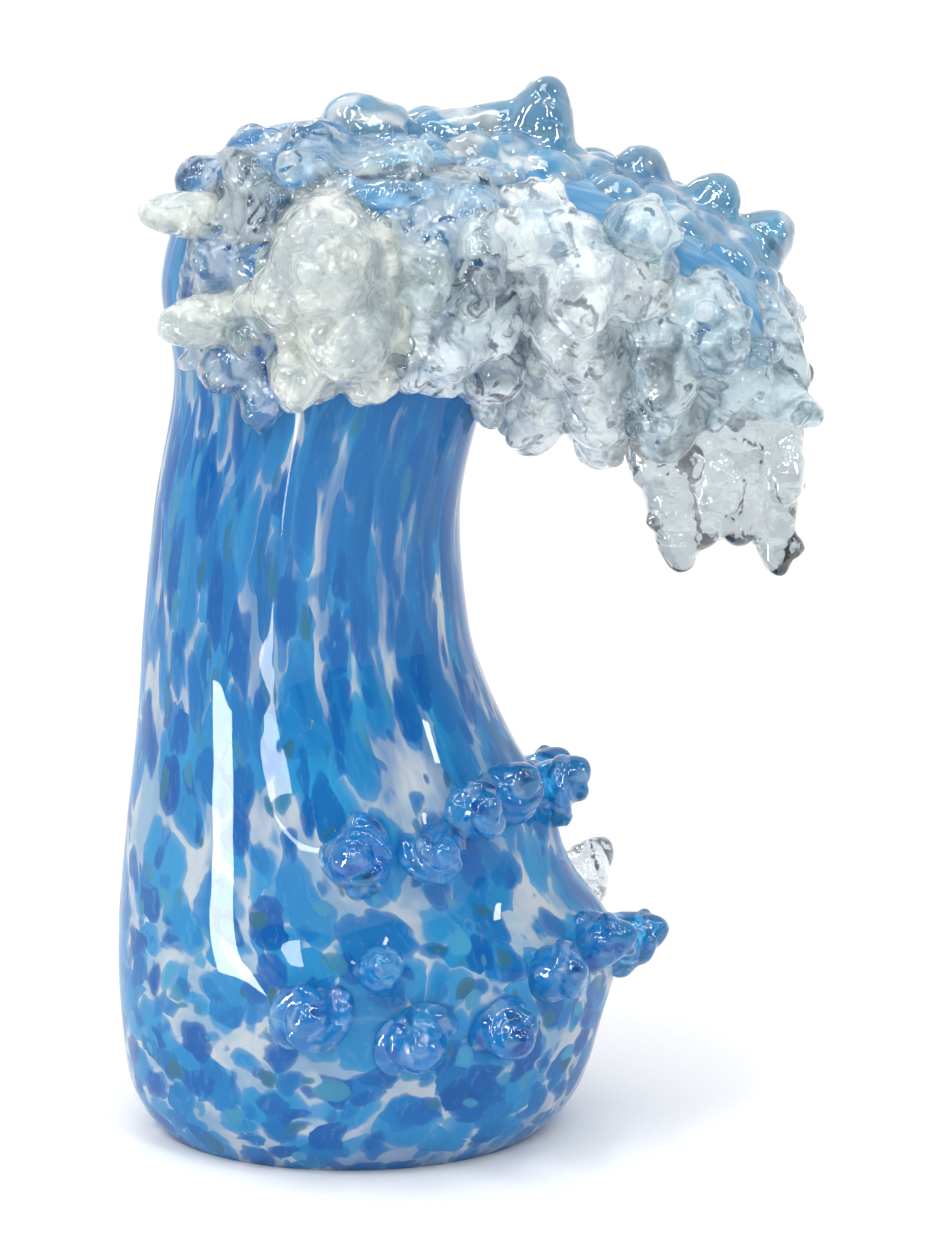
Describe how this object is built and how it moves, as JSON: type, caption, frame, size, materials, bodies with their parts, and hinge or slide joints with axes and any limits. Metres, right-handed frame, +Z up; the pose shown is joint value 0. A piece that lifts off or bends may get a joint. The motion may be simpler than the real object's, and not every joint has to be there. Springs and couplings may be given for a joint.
{
  "type": "glass wave sculpture",
  "caption": "Free-standing solid glass wave: a blue and white body on a flat foot that curls over, with clear foam, peaks and splash nubs.",
  "frame": {"origin": "centre of the flat ground foot, on the surface it stands on", "axes": "+Z up, +X the way the crest curls over, -Y the side that carries most of the foam"},
  "size_m": [0.1537, 0.1077, 0.2351],
  "materials": {
    "opal_core": "opaque white opal glass rolled in cobalt and sky-blue frit",
    "clear_casing": "clear casing glass, fire polished, ground flat at the foot",
    "milky_glass": "milky white hot bits, fire polished",
    "pale_blue_glass": "pale blue hot bits, fire polished",
    "blue_glass": "blue hot bits, fire polished",
    "clear_glass": "clear hot bits, fire polished"
  },
  "bodies": {
    "root": {"clear_casing": "clear_casing", "crest_knob_large": "pale_blue_glass", "crest_knob_small": "pale_blue_glass", "crest_peak_end": "pale_blue_glass", "crest_peak_second": "pale_blue_glass", "crest_peak_tall": "pale_blue_glass", "crest_peak_third": "pale_blue_glass", "foam_back_left": "milky_glass", "foam_back_right": "clear_glass", "foam_finger_lower": "milky_glass", "foam_finger_upper": "milky_glass", "foam_lobe_bright": "milky_glass", "foam_mass_centre": "clear_glass", "foam_mass_left": "milky_glass", "foam_mass_mid": "clear_glass", "foam_mass_outer": "clear_glass", "foam_mass_under": "clear_glass", "foam_ridge": "pale_blue_glass", "foam_streaks": "pale_blue_glass", "foam_veil_left": "milky_glass", "lower_splash_1": "blue_glass", "lower_splash_2": "blue_glass", "lower_splash_3": "blue_glass", "lower_splash_4": "blue_glass", "lower_splash_5": "blue_glass", "lower_splash_6": "blue_glass", "lower_splash_7": "blue_glass", "lower_splash_8": "clear_glass", "lower_splash_9": "clear_glass", "opal_core": "opal_core", "tip_drip_far": "clear_glass", "tip_drip_near": "clear_glass", "tip_fin": "clear_glass", "tip_knob": "clear_glass", "tip_veil": "clear_glass", "upper_splash_1": "blue_glass", "upper_splash_2": "blue_glass", "upper_splash_3": "blue_glass", "upper_splash_4": "blue_glass", "upper_splash_5": "blue_glass", "upper_splash_6": "blue_glass"}
  },
  "joints": []
}
